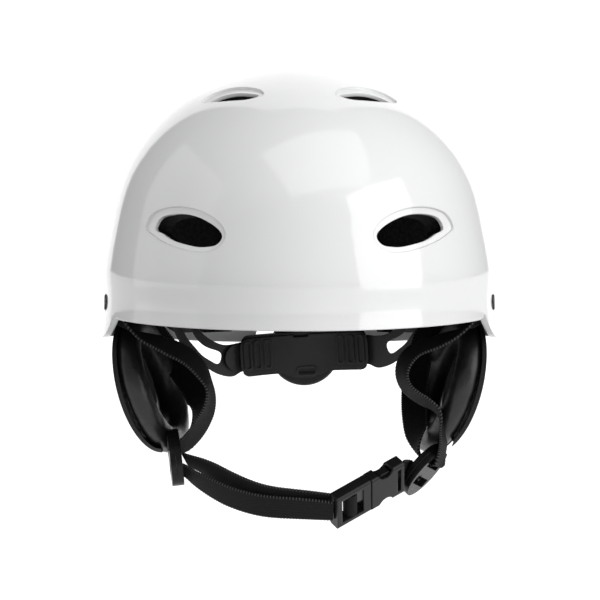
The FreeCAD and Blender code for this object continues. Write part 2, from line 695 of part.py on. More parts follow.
def ear_cover():
    """The semi-rigid outer cover with its hinge barrel."""
    outline = Part.Face(smooth_wire(EAR_COVER_OUTLINE, side_view)).extrude(Vector(320, 0, 0))
    outer_half = ear_axes(box((0.5, 60), (-70, 70), (-60, 60)))
    cover = ear_bowl(0).cut(ear_bowl(EAR_COVER_THICKNESS)).common(outer_half).common(outline)
    barrel_half = EAR_HINGE_HALF_LENGTH / 2
    start = EAR_HINGE + Vector(0, -barrel_half, 0)
    barrel = Part.makeCylinder(2.6, 2 * barrel_half, start, Vector(0, 1, 0))
    web = box((EAR_HINGE.x - 1.3, EAR_HINGE.x + 1.3), (-barrel_half, barrel_half),
              (EAR_HINGE.z - 9.0, EAR_HINGE.z))
    bore = Part.makeCylinder(1.05, 60, EAR_HINGE + Vector(0, -30, 0), Vector(0, 1, 0))
    return cover.fuse([web, barrel]).cut(bore)


def ear_bracket():
    """The bracket screwed inside the shell that carries the ear pad's hinge."""
    x, z = EAR_HINGE.x, EAR_HINGE.z
    inner, outer = EAR_HINGE_HALF_LENGTH / 2 + 0.3, EAR_HINGE_HALF_LENGTH
    ears = []
    for low, high in ((-outer, -inner), (inner, outer)):
        lug = Part.makeCylinder(2.6, high - low, Vector(x, low, z), Vector(0, 1, 0))
        arm_block = box((x - 2.6, x + 2.6), (low, high), (z, z + 6))
        ears += [lug, arm_block]
    plate = box((x - 2.6, x + 2.6), (-outer, outer), (z + 3.6, z + 11))
    bore = Part.makeCylinder(1.0, 60, Vector(x, -30, z), Vector(0, 1, 0))
    bracket = plate.fuse(ears).removeSplitter()
    return bracket.cut(bore)


def ear_hinge_pin():
    """The pin through the bracket and the cover's barrel."""
    length = 2 * EAR_HINGE_HALF_LENGTH
    start = EAR_HINGE + Vector(0, -EAR_HINGE_HALF_LENGTH, 0)
    return Part.makeCylinder(1.0, length, start, Vector(0, 1, 0))


def ear_cushion():
    """The padded oval roll that seals round the ear."""
    forward_length, up_length = EAR_RING_FORWARD.Length, EAR_RING_UP.Length
    torus = Part.makeTorus(up_length, EAR_ROLL_RADIUS)
    stretch = Matrix()
    stretch.scale(forward_length / up_length, 1, 1)
    oval = torus.transformGeometry(stretch)
    return framed(oval, EAR_RING_MIDDLE, EAR_RING_FORWARD, EAR_RING_UP)


def ear_foam():
    """The thin acoustic pad that closes the middle of the ring."""
    forward_length, up_length = EAR_RING_FORWARD.Length, EAR_RING_UP.Length
    margin = EAR_ROLL_RADIUS + 0.4
    disc = Part.makeCylinder(up_length - margin, 4.0, Vector(0, 0, -2.0))
    stretch = Matrix()
    stretch.scale((forward_length - margin) / (up_length - margin), 1, 1)
    return framed(disc.transformGeometry(stretch), EAR_RING_MIDDLE, EAR_RING_FORWARD, EAR_RING_UP)


def ear_parts():
    """Both ear pads, by name."""
    left = {
        "ear_cover": ear_cover(),
        "ear_cushion": ear_cushion(),
        "ear_foam": ear_foam(),
        "ear_bracket": ear_bracket(),
        "ear_hinge_pin": ear_hinge_pin(),
    }
    both = {}
    for name, shape in left.items():
        both[name + "_left"] = shape
        both[name + "_right"] = mirrored(shape)
    for side, seat, routes in (("left", LEFT_SLIDER_SEAT, (FRONT_STRAP_LEFT, REAR_STRAP_LEFT)),
                               ("right", RIGHT_SLIDER_SEAT, (FRONT_STRAP_RIGHT, REAR_STRAP_RIGHT))):
        room = slider_room(seat)
        both["ear_cover_" + side] = both["ear_cover_" + side].cut(room)
        grooves = [ribbon(route, WEBBING_WIDTH + 2 * STRAP_ROOM, WEBBING_THICKNESS + 2 * STRAP_ROOM)
                   for route in routes]
        both["ear_cushion_" + side] = both["ear_cushion_" + side].cut([room] + grooves)
    return both


# ------------------------------------------------------------------------------- rivets
def rivets():
    """The four rivets that hold the straps to the shell, front pair and rear pair."""
    pairs = []
    for seat in RIVET_SEATS:
        head = rivet_axis_shape(RIVET_HEAD_RADIUS, -RIVET_POCKET + 0.02, 0.9, seat)
        shank = rivet_axis_shape(RIVET_HOLE_RADIUS - 0.05, -5.6, -0.5, seat)
        rivet = head.fuse(shank).removeSplitter()
        pairs.append(Part.makeCompound([rivet, mirrored(rivet)]))
    return pairs


# ------------------------------------------------------------------------------- webbing
def spline_through(points, parameters):
    curve = Part.BSplineCurve()
    curve.interpolate(Points=points, Parameters=parameters)
    return curve


def ribbon(stations, width, thickness):
    """A flat strap through stations of (point, direction of its width)."""
    points = [Vector(*point) for point, _ in stations]
    travelled = [0.0]
    for before, after in zip(points, points[1:]):
        travelled.append(travelled[-1] + (after - before).Length)
    middle_line = spline_through(points, travelled)
    steps = math.ceil(travelled[-1] / RIBBON_STEP)
    marks = [travelled[-1] * step / steps for step in range(steps + 1)]
    corner_rows = [[], [], [], []]
    for mark in marks:
        along = middle_line.tangent(mark)[0]
        last = max(index for index, start in enumerate(travelled[:-1]) if start <= mark)
        share = (mark - travelled[last]) / (travelled[last + 1] - travelled[last])
        across = Vector(*stations[last][1]) * (1 - share) + Vector(*stations[last + 1][1]) * share
        across = (across - along * across.dot(along)).normalize()
        half_w, half_t = across * (width / 2), along.cross(across) * (thickness / 2)
        for row, corner in zip(corner_rows, (half_w + half_t, half_t - half_w,
                                             half_w * -1 - half_t, half_w - half_t)):
            row.append(middle_line.value(mark) + corner)
    rails = [spline_through(row, marks).toShape() for row in corner_rows]
    faces = [Part.makeRuledSurface(rails[index], rails[(index + 1) % 4], 1) for index in range(4)]
    for end in (0, -1):
        corners = [row[end] for row in corner_rows]
        faces.append(Part.Face(Part.makePolygon(corners + corners[:1])))
    skin = Part.Shell(faces)
    skin.sewShape()
    solid = Part.Solid(skin)
    if solid.Volume < 0:
        solid.reverse()
    return solid


# Each strap: points along its middle, and the direction of its width there.
FRONT_STRAP_RIGHT = [
    ((-102.0, -15.5, 9.0), (0.12, -0.62, 0.78)), ((-100.4, -24.5, 5.5), (0.16, -0.75, 0.65)),
    ((-97.6, -34.0, 0.8), (0.24, -0.93, 0.25)), ((-91.2, -41.5, -5.3), (0.22, -0.97, -0.05)),
    ((-83.9, -44.0, -10.0), (0.05, -0.97, -0.25)), ((-75.3, -45.5, -13.2), (-0.10, -0.90, -0.42)),
    ((-67.8, -46.5, -16.5), (-0.20, -0.83, -0.50)), ((-59.5, -47.0, -20.8), (-0.35, -0.82, -0.45)),
    ((-52.8, -46.5, -28.0), (-0.42, -0.88, -0.20)), ((-48.6, -45.0, -36.5), (-0.15, -0.99, 0.0)),
    ((-48.5, -42.0, -46.0), (-0.30, -0.93, 0.10)), ((-51.6, -37.0, -55.2), (-0.40, -0.87, 0.25)),
    ((-56.6, -30.5, -64.0), (-0.30, -0.87, 0.40)), ((-61.8, -25.0, -70.4), (-0.10, -0.87, 0.48)),
    ((-66.1, -22.4, -73.4), (0.04, -0.87, 0.51)), ((-69.9, -22.6, -73.8), (0.04, -0.87, 0.51)),
]
REAR_STRAP_RIGHT = [
    ((-93.7, 55.3, 2.6), (0.25, -0.45, 0.85)), ((-90.3, 53.2, -4.0), (0.35, -0.50, 0.75)),
    ((-85.0, 49.5, -13.0), (0.60, -0.45, 0.65)), ((-76.5, 41.0, -24.0), (0.75, -0.30, 0.55)),
    ((-66.5, 27.0, -36.0), (0.80, -0.10, 0.55)), ((-58.5, 10.0, -45.0), (0.75, 0.35, 0.50)),
    ((-55.0, -4.5, -53.0), (0.60, 0.75, 0.30)), ((-56.8, -13.0, -61.0), (0.35, 0.92, -0.10)),
    ((-61.0, -18.8, -68.0), (0.10, 0.92, -0.35)), ((-66.4, -21.3, -71.7), (-0.04, 0.87, -0.51)),
    ((-70.1, -21.7, -72.1), (-0.04, 0.87, -0.51)),
]
FRONT_STRAP_LEFT = [
    ((102.0, -15.5, 9.0), (-0.12, -0.62, 0.78)), ((100.4, -24.5, 5.5), (-0.16, -0.75, 0.65)),
    ((97.2, -34.0, 0.8), (-0.24, -0.93, 0.25)), ((89.0, -42.3, -5.6), (-0.20, -0.97, -0.10)),
    ((80.0, -44.5, -10.3), (0.0, -0.95, -0.30)), ((70.5, -45.5, -14.0), (0.15, -0.93, -0.35)),
    ((62.0, -46.5, -17.4), (0.30, -0.90, -0.30)), ((56.6, -47.0, -23.2), (0.40, -0.88, -0.25)),
    ((55.0, -46.5, -31.0), (0.40, -0.90, 0.0)), ((57.8, -45.0, -37.6), (0.30, -0.90, 0.25)),
    ((65.0, -42.0, -43.8), (0.10, -0.90, 0.40)), ((72.4, -38.5, -49.8), (0.0, -0.90, 0.40)),
    ((77.2, -34.5, -57.6), (-0.35, -0.93, 0.10)), ((78.6, -30.5, -66.2), (-0.30, -0.93, 0.0)),
    ((77.8, -27.5, -74.5), (-0.30, -0.93, 0.10)), ((74.8, -24.9, -82.3), (-0.32, -0.91, 0.27)),
    ((71.8, -23.1, -80.6), (-0.32, -0.91, 0.27)),
]
REAR_STRAP_LEFT = [
    ((93.7, 55.3, 2.6), (-0.25, -0.45, 0.85)), ((89.4, 51.8, -3.0), (-0.35, -0.50, 0.75)),
    ((82.5, 46.5, -8.5), (-0.45, 0.10, 0.85)), ((75.0, 41.0, -13.5), (-0.65, 0.40, 0.60)),
    ((70.0, 34.0, -23.5), (-0.85, 0.30, 0.20)), ((66.5, 23.5, -35.0), (-0.90, 0.25, 0.10)),
    ((64.5, 11.0, -46.0), (-0.92, 0.20, 0.05)), ((64.0, -1.5, -56.0), (-0.90, 0.35, 0.0)),
    ((64.4, -11.0, -65.0), (-0.70, 0.65, 0.0)), ((65.2, -17.2, -72.6), (-0.20, 0.95, -0.20)),
    ((67.0, -20.7, -78.3), (0.25, 0.90, -0.24)), ((70.8, -23.0, -81.5), (0.32, 0.91, -0.27)),
]
CHIN_STRAP_OUTER = [
    ((-68.4, -28.2, -83.4), (0.04, -0.87, 0.51)), ((-64.0, -28.4, -84.2), (0.04, -0.85, 0.53)),
    ((-58.8, -30.8, -87.3), (0.0, -0.76, 0.65)), ((-51.4, -36.0, -91.2), (0.10, -0.70, 0.70)),
    ((-40.5, -43.8, -95.6), (0.15, -0.62, 0.77)), ((-31.0, -49.0, -98.3), (0.10, -0.56, 0.82)),
    ((-18.5, -54.0, -100.3), (0.05, -0.50, 0.86)), ((-5.0, -56.4, -101.0), (0.0, -0.50, 0.86)),
    ((7.0, -57.4, -101.6), (-0.05, -0.55, 0.83)), ((15.4, -58.0, -102.4), (-0.10, -0.62, 0.77)),
]
CHIN_STRAP_TAIL = [
    ((-62.4, -24.0, -79.4), (0.04, -0.87, 0.51)), ((-55.0, -28.5, -81.6), (0.12, -0.85, 0.52)),
    ((-44.0, -37.5, -85.8), (0.20, -0.70, 0.70)), ((-31.0, -46.5, -91.0), (0.10, -0.58, 0.80)),
    ((-18.0, -52.3, -94.9), (0.05, -0.50, 0.86)), ((-5.0, -55.4, -96.4), (0.0, -0.50, 0.86)),
    ((6.5, -55.8, -97.4), (-0.05, -0.55, 0.83)), ((14.2, -55.9, -98.3), (-0.10, -0.62, 0.77)),
]
SHORT_STRAP = [
    ((63.8, -23.0, -89.7), (0.32, 0.91, -0.27)), ((60.6, -24.2, -87.4), (0.20, 0.85, -0.45)),
    ((57.6, -29.4, -85.6), (0.05, 0.72, -0.68)), ((55.2, -35.6, -85.2), (0.10, 0.65, -0.75)),
]


def straps():
    """All webbing, by name."""
    routes = {
        "strap_front_right": FRONT_STRAP_RIGHT,
        "strap_rear_right": REAR_STRAP_RIGHT,
        "strap_front_left": FRONT_STRAP_LEFT,
        "strap_rear_left": REAR_STRAP_LEFT,
        "chin_strap": CHIN_STRAP_OUTER,
        "chin_strap_tail": CHIN_STRAP_TAIL,
        "strap_buckle_short": SHORT_STRAP,
    }
    return {name: ribbon(route, WEBBING_WIDTH, WEBBING_THICKNESS) for name, route in routes.items()}


# ------------------------------------------------------------------------------- sliders
def slider_plate(low, high):
    """One oval plate with two slots, drawn flat: X down the strap, Y across it."""
    disc = Part.makeCylinder(SLIDER_WIDTH / 2, high - low, Vector(0, 0, low))
    stretch = Matrix()
    stretch.scale(SLIDER_LENGTH / SLIDER_WIDTH, 1, 1)
    plate = disc.transformGeometry(stretch)
    length, height = SLIDER_SLOT
    slots = []
    for middle in (-SLIDER_SLOT_OFFSET, SLIDER_SLOT_OFFSET):
        slots.append(box((middle - height / 2, middle + height / 2),
                         (-length / 2, length / 2), (low - 1, high + 1)))
    return plate.cut(slots)


def slider_room(seat):
    """The space an ear pad leaves round a slider and its travel, open towards the head."""
    middle, down, normal = seat
    length, width = SLIDER_LENGTH / 2 + STRAP_ROOM, SLIDER_WIDTH / 2 + STRAP_ROOM
    room = box((-length - SLIDER_TRAVEL, length), (-width, width), (-60, SLIDER_PLATE + STRAP_ROOM))
    return framed(room, middle, down, normal.cross(down))


def sliders():
    """The two-piece strap sliders, by name."""
    half_gap = 0.02
    inner = slider_plate(-SLIDER_PLATE - half_gap, -half_gap)
    outer = slider_plate(half_gap, SLIDER_PLATE + half_gap)
    parts = {}
    right_routes = (FRONT_STRAP_RIGHT, REAR_STRAP_RIGHT, CHIN_STRAP_OUTER, CHIN_STRAP_TAIL)
    left_routes = (FRONT_STRAP_LEFT, REAR_STRAP_LEFT, SHORT_STRAP)
    for name, (middle, down, normal), routes in (("right", RIGHT_SLIDER_SEAT, right_routes),
                                                 ("left", LEFT_SLIDER_SEAT, left_routes)):
        across = normal.cross(down)
        paths = [ribbon(route, WEBBING_WIDTH + SLOT_ROOM_WIDE, WEBBING_THICKNESS + SLOT_ROOM_THICK)
                 for route in routes]
        for layer, plate in (("inner", inner), ("outer", outer)):
            pieces = framed(plate, middle, down, across).cut(paths).Solids
            parts[f"slider_{layer}_{name}"] = max(pieces, key=lambda piece: piece.Volume)
    return parts


# ------------------------------------------------------------------------------- buckle
# The buckle is drawn with X along the strap from plug to socket, Y across it and Z through
# its thickness, and the seam between plug and socket at X = 0.


def softened(shape, radius):
    """Round the long outer edges of a block that run along X."""
    edges = [edge for edge in shape.Edges if abs(edge.tangentAt(edge.FirstParameter).x) > 0.9]
    return shape.makeFillet(radius, edges)


def buckle_plug():
    """The plug body: strap window with its bar, and the central guide tongue."""
    half, thick = BUCKLE_WIDTH / 2, BUCKLE_THICKNESS / 2 - 0.4
    body = softened(box((-BUCKLE_MALE_LENGTH, -BUCKLE_SEAM_GAP), (-half, half), (-thick, thick)), 1.4)
    window = box((-BUCKLE_MALE_LENGTH + 3.0, -5.5), (-half + 3.2, half - 3.2), (-10, 10))
    bar = box((-BUCKLE_MALE_LENGTH + 9.6, -BUCKLE_MALE_LENGTH + 12.2), (-half + 2, half - 2), (-1.6, 1.6))
    guide = box((-2.0, 12.0), (-GUIDE_WIDTH / 2, GUIDE_WIDTH / 2), (-2.2, 2.2))
    return body.cut(window).fuse([bar, guide]).removeSplitter()


def buckle_prong(side):
    """One squeeze prong, a curved arm with a thumb bulge and a rounded tip."""
    inner, outer = PRONG_MIDDLE - PRONG_WIDTH / 2, PRONG_MIDDLE + PRONG_WIDTH / 2
    corners = [(PRONG_ROOT, inner), (9.0, inner), (PRONG_LENGTH, inner + 0.8), (PRONG_LENGTH, outer - 1.0),
               (PRONG_LENGTH - 1.5, outer), (7.5, outer + 0.3), (5.0, outer - 0.6), (PRONG_ROOT, outer - 0.6)]
    outline = polygon([(x, side * y) for x, y in corners], flat)
    prong = Part.Face(outline).extrude(Vector(0, 0, PRONG_THICKNESS))
    root = Part.makeCylinder(PRONG_WIDTH / 2 - 0.1, PRONG_THICKNESS, Vector(PRONG_ROOT, side * PRONG_MIDDLE, 0))
    prong = prong.fuse(root).removeSplitter()
    prong.translate(Vector(0, 0, -PRONG_THICKNESS / 2))
    return prong


def buckle_socket():
    """The socket: hollow body, open side windows for the fingers, and the strap bar."""
    half, thick = BUCKLE_WIDTH / 2, BUCKLE_THICKNESS / 2
    body = softened(box((0, BUCKLE_FEMALE_LENGTH), (-half, half), (-thick, thick)), 1.6)
    cavity = box((-1, CAVITY_LENGTH), (-CAVITY_HALF_WIDTH, CAVITY_HALF_WIDTH),
                 (-CAVITY_HALF_HEIGHT, CAVITY_HALF_HEIGHT))
    windows = []
    for side in (-1, 1):
        window = Part.makeCylinder(5.0, 20, Vector(9.6, side * (half + 1.2), -10))
        windows.append(window)
    slot = box((BUCKLE_FEMALE_LENGTH - 4.6, BUCKLE_FEMALE_LENGTH - 2.2), (-8.2, 8.2), (-10, 10))
    return body.cut([cavity, slot] + windows)


def webbing_loop():
    """The turn of webbing round the plug's bar."""
    outer = Part.makeCylinder(3.9, WEBBING_WIDTH, Vector(0, -WEBBING_WIDTH / 2, 0), Vector(0, 1, 0))
    inner = Part.makeCylinder(2.5, WEBBING_WIDTH, Vector(0, -WEBBING_WIDTH / 2, 0), Vector(0, 1, 0))
    loop = outer.cut(inner)
    loop.translate(Vector(-BUCKLE_MALE_LENGTH + 10.9, 0, 0))
    return loop


def buckle_parts():
    """The side-release buckle, by name."""
    parts = {
        "buckle_plug": buckle_plug(),
        "buckle_prong_upper": buckle_prong(1),
        "buckle_prong_lower": buckle_prong(-1),
        "buckle_socket": buckle_socket(),
        "webbing_loop": webbing_loop(),
    }
    return {name: framed(shape, BUCKLE_SEAM, BUCKLE_AXIS, BUCKLE_ACROSS)
            for name, shape in parts.items()}


# ------------------------------------------------------------------------------- all pieces
def main():
    os.makedirs("parts", exist_ok=True)
    write("outer_shell", outer_shell())
    front_rivets, rear_rivets = rivets()
    write("rivets_front", front_rivets)
    write("rivets_rear", rear_rivets)
    groups = [liner(), comfort_pads(), cradle_parts(), ear_parts(), straps(), sliders(), buckle_parts()]
    for group in groups:
        for name, shape in group.items():
            write(name, shape)


main()
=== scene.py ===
import math

import bpy
import numpy as np
from mathutils import Matrix, Vector


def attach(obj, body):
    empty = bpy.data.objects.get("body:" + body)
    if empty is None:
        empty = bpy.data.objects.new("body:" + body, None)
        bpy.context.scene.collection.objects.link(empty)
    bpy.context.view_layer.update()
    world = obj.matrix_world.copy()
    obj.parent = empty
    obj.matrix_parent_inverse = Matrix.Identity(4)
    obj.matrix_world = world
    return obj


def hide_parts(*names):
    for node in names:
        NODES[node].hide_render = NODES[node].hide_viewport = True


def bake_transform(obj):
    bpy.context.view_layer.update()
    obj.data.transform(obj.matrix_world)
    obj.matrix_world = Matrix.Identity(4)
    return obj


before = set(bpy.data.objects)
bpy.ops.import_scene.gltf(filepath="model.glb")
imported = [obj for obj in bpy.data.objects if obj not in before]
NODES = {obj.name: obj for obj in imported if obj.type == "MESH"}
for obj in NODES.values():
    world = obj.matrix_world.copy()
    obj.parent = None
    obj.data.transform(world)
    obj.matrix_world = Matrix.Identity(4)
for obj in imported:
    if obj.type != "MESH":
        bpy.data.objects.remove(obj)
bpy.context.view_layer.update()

MM = 0.001
SIDES = ("left", "right")
SIGN = {"left": 1, "right": -1}
FULL_TURN = 2 * math.pi


# ------------------------------------------------------------------ material building blocks
class Shader:
    """A node material with one Principled shader and short helpers to feed it."""

    def __init__(self, name, color, roughness, **settings):
        self.material = bpy.data.materials.new(name)
        self.material.use_nodes = True
        self.tree = self.material.node_tree
        self.tree.nodes.clear()
        self.output = self.add("ShaderNodeOutputMaterial")
        self.shader = self.add("ShaderNodeBsdfPrincipled")
        self.tree.links.new(self.shader.outputs[0], self.output.inputs["Surface"])
        self.shader.inputs["Base Color"].default_value = (*color, 1)
        self.shader.inputs["Roughness"].default_value = roughness
        for key, value in settings.items():
            self.shader.inputs[key.replace("_", " ")].default_value = value
        self.normal = None

    def add(self, kind, **inputs):
        node = self.tree.nodes.new(kind)
        for key, value in inputs.items():
            self.feed(node, key.replace("_", " "), value)
        return node

    def feed(self, node, key, value):
        if isinstance(value, bpy.types.NodeSocket):
            self.tree.links.new(value, node.inputs[key])
        else:
            node.inputs[key].default_value = value

    def coords(self, kind="Object"):
        return self.add("ShaderNodeTexCoord").outputs[kind]

    def axis(self, vector, index):
        return self.add("ShaderNodeSeparateXYZ", Vector=vector).outputs[index]

    def math(self, operation, a, b=0.0, clamp=False):
        node = self.tree.nodes.new("ShaderNodeMath")
        node.operation = operation
        node.use_clamp = clamp
        self.feed(node, 0, a)
        self.feed(node, 1, b)
        return node.outputs[0]

    def noise(self, vector, scale, detail=2.0, roughness=0.5):
        node = self.add("ShaderNodeTexNoise", Vector=vector, Scale=scale, Detail=detail,
                        Roughness=roughness)
        return node.outputs["Fac"]

    def cells(self, vector, scale, feature="F1", output="Distance"):
        node = self.tree.nodes.new("ShaderNodeTexVoronoi")
        node.feature = feature
        self.feed(node, "Vector", vector)
        self.feed(node, "Scale", scale)
        return node.outputs[output]

    def ramp(self, value, stops):
        node = self.tree.nodes.new("ShaderNodeValToRGB")
        self.feed(node, "Fac", value)
        elements = node.color_ramp.elements
        while len(elements) < len(stops):
            elements.new(0.5)
        for element, (place, color) in zip(elements, stops):
            element.position = place
            level = (color, color, color) if isinstance(color, float) else color
            element.color = (*level, 1)
        return node.outputs["Color"]

    def bump(self, height, distance, strength=1.0):
        node = self.add("ShaderNodeBump", Strength=strength, Distance=distance, Height=height)
        if self.normal is not None:
            self.tree.links.new(self.normal, node.inputs["Normal"])
        self.normal = node.outputs["Normal"]

    def soft_edges(self, radius):
        node = self.add("ShaderNodeBevel", Radius=radius)
        node.samples = 6
        self.normal = node.outputs["Normal"]

    def finish(self, color=None, roughness=None):
        if color is not None:
            self.tree.links.new(color, self.shader.inputs["Base Color"])
        if roughness is not None:
            self.tree.links.new(roughness, self.shader.inputs["Roughness"])
        if self.normal is not None:
            self.tree.links.new(self.normal, self.shader.inputs["Normal"])
        return self.material


def shell_paint():
    """White gloss plastic with a fine mould line down the middle of the front."""
    s = Shader("shell_gloss_white", (0.86, 0.865, 0.87), 0.1, IOR=1.5, Coat_Weight=0.35,
               Coat_Roughness=0.04)
    s.soft_edges(0.0012)
    place = s.coords()
    off_line = s.math("ABSOLUTE", s.axis(place, 0))
    ridge = s.ramp(s.math("MULTIPLY", off_line, 1000.0), [(0.0, 1.0), (0.35, 0.0)])
    s.bump(ridge, 0.00004, 0.6)
    s.bump(s.noise(place, 90.0, 2.0), 0.00002, 0.4)
    tint = s.ramp(s.noise(place, 14.0, 3.0),
                  [(0.3, (0.855, 0.86, 0.865)), (0.7, (0.87, 0.873, 0.876))])
    gloss = s.ramp(s.noise(place, 240.0, 3.0), [(0.35, 0.09), (0.7, 0.13)])
    return s.finish(tint, gloss)


def moulded(name, dark, light, roughness, grain=900.0, depth=0.00003, edges=0.0004, **settings):
    """Injection-moulded plastic with a fine spark grain and softened edges."""
    s = Shader(name, dark, roughness, **settings)
    s.soft_edges(edges)
    place = s.coords()
    s.bump(s.noise(place, grain, 3.0, 0.6), depth, 0.7)
    tint = s.ramp(s.noise(place, 60.0, 4.0), [(0.35, dark), (0.7, light)])
    rough = s.ramp(s.noise(place, grain * 0.6, 2.0),
                   [(0.3, roughness * 0.85), (0.7, roughness * 1.15)])
    return s.finish(tint, rough)


def bead_foam():
    """Black expanded foam: fused beads a few millimetres across."""
    s = Shader("bead_foam_black", (0.01, 0.01, 0.011), 0.75, Specular_IOR_Level=0.1)
    place = s.coords()
    bead = s.cells(place, 420.0)
    s.bump(bead, 0.0004, 0.8)
    s.bump(s.noise(place, 1500.0, 2.0), 0.00008, 0.5)
    tint = s.ramp(bead, [(0.1, (0.016, 0.016, 0.017)), (0.8, (0.006, 0.006, 0.0065))])
    return s.finish(tint)


def leatherette():
    """Soft black leatherette: pebbled grain and fine stretch lines."""
    s = Shader("leatherette_black", (0.012, 0.012, 0.0125), 0.38, Specular_IOR_Level=0.4)
    place = s.coords()
    s.bump(s.cells(place, 900.0, "SMOOTH_F1"), 0.00012, 0.5)
    s.bump(s.noise(place, 260.0, 4.0, 0.65), 0.0003, 0.35)
    tint = s.ramp(s.noise(place, 120.0, 4.0),
                  [(0.3, (0.008, 0.008, 0.0085)), (0.75, (0.014, 0.014, 0.0145))])
    rough = s.ramp(s.noise(place, 700.0, 3.0, 0.6), [(0.3, 0.3), (0.75, 0.46)])
    return s.finish(tint, rough)


def knit(name, level):
    """Knitted cloth: rows of tiny loops."""
    s = Shader(name, (level, level, level), 0.85, Specular_IOR_Level=0.1, Sheen_Weight=0.05)
    place = s.coords()
    loops = s.cells(place, 1100.0)
    s.bump(loops, 0.0003, 0.7)
    s.bump(s.noise(place, 300.0, 3.0), 0.0003, 0.4)
    tint = s.ramp(loops, [(0.1, level * 1.6), (0.7, level * 0.6)])
    return s.finish(tint)


WEAVE_ROW, WEAVE_COLUMN, SELVEDGE_STITCH = 0.0013, 0.0011, 0.0017


def webbing_cloth():
    """Black woven webbing. UV is metres along the strap and across it."""
    s = Shader("webbing_black", (0.012, 0.012, 0.012), 0.7, Specular_IOR_Level=0.12)
    uv = s.coords("UV")
    along, across = s.axis(uv, 0), s.axis(uv, 1)
    rows = s.math("SINE", s.math("MULTIPLY", along, FULL_TURN / WEAVE_ROW))
    shifted = s.math("ADD", across, s.math("MULTIPLY", along, 0.7))
    columns = s.math("SINE", s.math("MULTIPLY", shifted, FULL_TURN / WEAVE_COLUMN))
    weave = s.math("MULTIPLY", rows, columns)
    s.bump(weave, 0.00014, 0.8)
    s.bump(s.noise(uv, 2200.0, 3.0, 0.7), 0.00012, 0.7)
    from_middle = s.math("ABSOLUTE", across)
    selvedge = s.ramp(s.math("MULTIPLY", from_middle, 100.0), [(0.60, 0.0), (0.68, 1.0)])
    stitches = s.math("SINE", s.math("MULTIPLY", along, FULL_TURN / SELVEDGE_STITCH))
    glint = s.math("MULTIPLY", s.math("MULTIPLY", stitches, selvedge, True), 0.09)
    base = s.math("ADD", s.math("MULTIPLY", s.math("ADD", weave, 1.2), 0.004), 0.003)
    lint = s.math("SUBTRACT", s.noise(uv, 3500.0, 2.0, 0.7), 0.56, True)
    speck = s.math("MULTIPLY", lint, 0.2)
    level = s.math("ADD", s.math("ADD", base, glint), speck)
    tint = s.add("ShaderNodeCombineColor", Red=level, Green=level, Blue=level).outputs[0]
    return s.finish(tint)


# ------------------------------------------------------------------ curves and meshes
def spline(points, count):
    """A smooth curve through points, by chord length: places, tangents and running length."""
    points = np.array(points, float)
    chord = np.concatenate([[0], np.cumsum(np.linalg.norm(np.diff(points, axis=0), axis=1))])
    n = len(points)
    h = np.diff(chord)
    system, right = np.zeros((n, n)), np.zeros((n, 3))
    system[0, 0] = system[-1, -1] = 1
    for i in range(1, n - 1):
        system[i, i - 1:i + 2] = h[i - 1], 2 * (h[i - 1] + h[i]), h[i]
        right[i] = 6 * ((points[i + 1] - points[i]) / h[i] - (points[i] - points[i - 1]) / h[i - 1])
    bend = np.linalg.solve(system, right)
    t = np.linspace(0, chord[-1], count)
    k = np.clip(np.searchsorted(chord, t, side="right") - 1, 0, n - 2)
    a, b, w = (chord[k + 1] - t)[:, None], (t - chord[k])[:, None], h[k][:, None]
    places = (bend[k] * a ** 3 + bend[k + 1] * b ** 3) / (6 * w) \
        + (points[k] / w - bend[k] * w / 6) * a + (points[k + 1] / w - bend[k + 1] * w / 6) * b
    tangents = np.gradient(places, t, axis=0)
    tangents /= np.linalg.norm(tangents, axis=1)[:, None]
    return places, tangents, t, chord


def new_object(name, vertices, faces, material, uvs=None, smooth=True):
    """A mesh object in the scene, with one material and an optional UV per vertex."""
    mesh = bpy.data.meshes.new(name)
    mesh.from_pydata([tuple(v) for v in vertices], [], faces)
    if uvs is not None:
        layer = mesh.uv_layers.new(name="UVMap")
        loop_vertices = np.zeros(len(mesh.loops), np.int32)
        mesh.loops.foreach_get("vertex_index", loop_vertices)
        layer.data.foreach_set("uv", np.array(uvs, np.float32)[loop_vertices].ravel())
    mesh.update()
    obj = bpy.data.objects.new(name, mesh)
    bpy.context.scene.collection.objects.link(obj)
    obj.data.materials.append(material)
    if smooth:
        obj.data.shade_smooth()
    return obj


WEBBING_WIDTH, WEBBING_THICKNESS = 15.0, 1.3
WEBBING_STEP = 0.42
BEAD_HEIGHT, BEAD_PITCH = 0.24, 1.7
TWIST_SMOOTHING = 31


def width_directions(t, chord, stations, tangents):
    """The direction of the webbing's width at each row, smoothed and square to its run."""
    widths = np.array([w for _, w in stations], float)
    across = np.stack([np.interp(t, chord, widths[:, i]) for i in range(3)], axis=1)
    kernel = np.hanning(TWIST_SMOOTHING) / np.hanning(TWIST_SMOOTHING).sum()
    margin = TWIST_SMOOTHING // 2
    padded_rows = np.pad(across, ((margin, margin), (0, 0)), mode="edge")
    across = np.stack([np.convolve(padded_rows[:, i], kernel, "valid") for i in range(3)], axis=1)
    across -= tangents * np.sum(across * tangents, axis=1)[:, None]
    return across / np.linalg.norm(across, axis=1)[:, None]


def webbing_profile():
    """Points of the webbing's section, as shares of its half width and half thickness."""
    section = [(v * 0.965, 1.0 - 0.25 * abs(v) ** 8) for v in np.linspace(-1, 1, 13)]
    return section + [(1.0, 0.0)] + [(v, -z) for v, z in reversed(section)] + [(-1.0, 0.0)]


